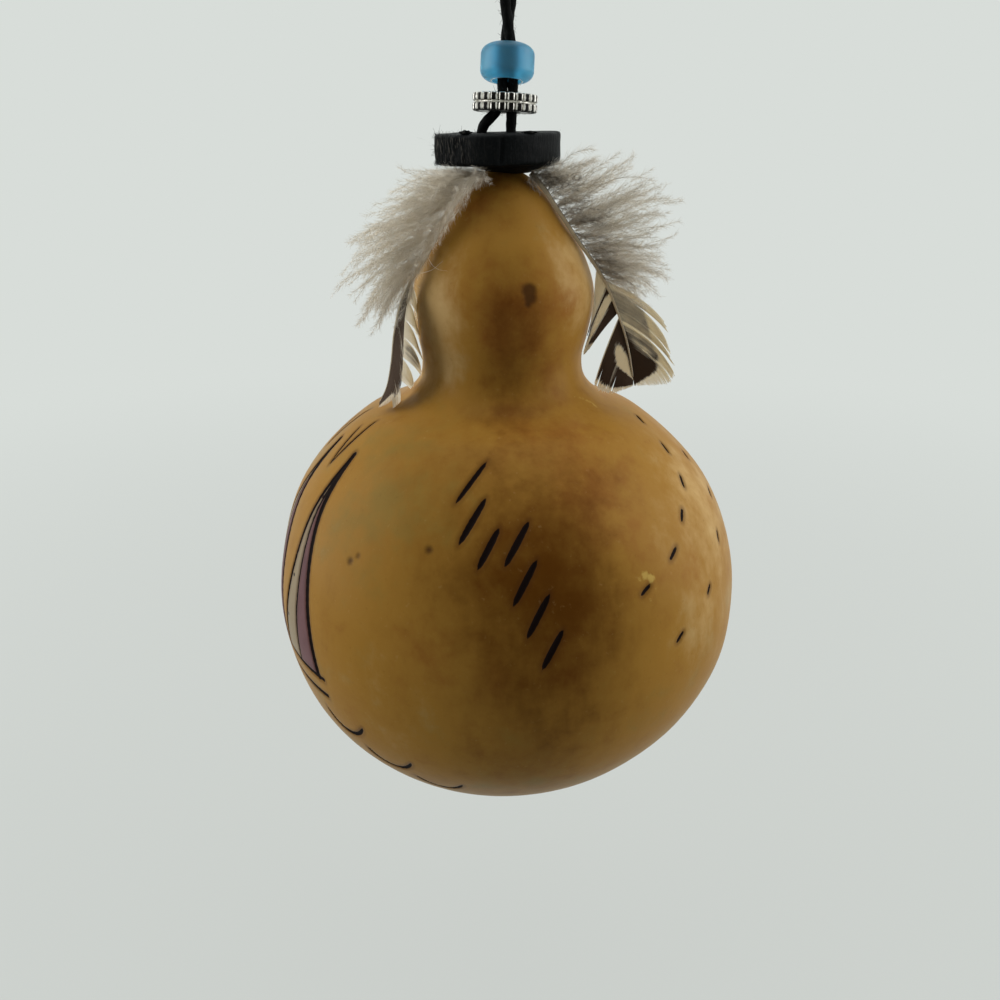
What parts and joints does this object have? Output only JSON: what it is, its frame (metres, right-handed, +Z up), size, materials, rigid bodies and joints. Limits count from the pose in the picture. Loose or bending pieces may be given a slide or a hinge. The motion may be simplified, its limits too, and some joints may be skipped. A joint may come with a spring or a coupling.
{
  "type": "hanging gourd ornament",
  "caption": "Dried bottle gourd with burnt marks that hangs from a doubled black cord, with beads, a leather disc and a feather on each side.",
  "frame": {"origin": "where a hook bears on the inside of the crown of the hanging loop", "axes": "+Z up along the hanging cord, +X to the right and +Y away from someone who looks at the front"},
  "size_m": [0.0888, 0.0888, 0.1848],
  "materials": {
    "gourd_skin": "dyed and varnished gourd skin, golden brown, glossy, with burnt black marks",
    "black_leather": "thick black leather with raw fibrous edges and a light sheen",
    "waxed_cord": "black waxed cord with a little fuzz",
    "frosted_glass": "frosted translucent blue",
    "old_silver": "antiqued silver, bright ribs and black recesses",
    "feather_quill": "horny shaft, pale at the root and brown towards the tip",
    "feather_vane": "barred dark brown and cream barbs",
    "feather_down": "soft grey-brown down"
  },
  "bodies": {
    "loop": {"hanging_loop": "waxed_cord"},
    "knot": {"loop_knot": "waxed_cord"},
    "pair": {"pair_left": "waxed_cord", "pair_right": "waxed_cord"},
    "gourd": {"gourd_shell": "gourd_skin", "leather_disc": "black_leather", "strand_left": "waxed_cord", "strand_right": "waxed_cord", "stopper_knot": "waxed_cord"},
    "bead": {"glass_bead": "frosted_glass"},
    "spacer": {"spacer_bead": "old_silver"},
    "right_feather": {"right_quill": "feather_quill", "right_vane_outer": "feather_vane", "right_vane_inner": "feather_vane", "right_vane_tail": "feather_vane", "right_down": "feather_down"},
    "left_feather": {"left_quill": "feather_quill", "left_vane_outer": "feather_vane", "left_vane_inner": "feather_vane", "left_down": "feather_down"}
  },
  "joints": [
    {"name": "swing_fore_aft", "type": "hinge", "parent": "loop", "child": "knot", "pos_m": [0, 0, -0.027], "axis": [1, 0, 0], "range_deg": [-30, 30]},
    {"name": "swing_sideways", "type": "hinge", "parent": "knot", "child": "pair", "pos_m": [0, 0, -0.027], "axis": [0, 1, 0], "range_deg": [-30, 30]},
    {"name": "twist", "type": "hinge", "parent": "pair", "child": "gourd", "pos_m": [-0.0001, 0, -0.0467], "axis": [0, 0, 1], "range_deg": [-180, 180], "stiffness_Nm_per_rad": 0.0002},
    {"name": "bead_slide", "type": "slide", "parent": "gourd", "child": "bead", "axis": [0, 0, 1], "range_m": [0, 0.012]},
    {"name": "spacer_spin", "type": "hinge", "parent": "gourd", "child": "spacer", "pos_m": [-0.00055, 0, -0.05295], "axis": [0.0436, 0, 0.999], "continuous": true},
    {"name": "right_feather_lift", "type": "hinge", "parent": "gourd", "child": "right_feather", "pos_m": [0.0038, -0.004, -0.064], "axis": [0, -1, 0], "range_deg": [0, 25]},
    {"name": "left_feather_lift", "type": "hinge", "parent": "gourd", "child": "left_feather", "pos_m": [-0.0046, -0.005, -0.0639], "axis": [0, 1, 0], "range_deg": [0, 25]}
  ]
}
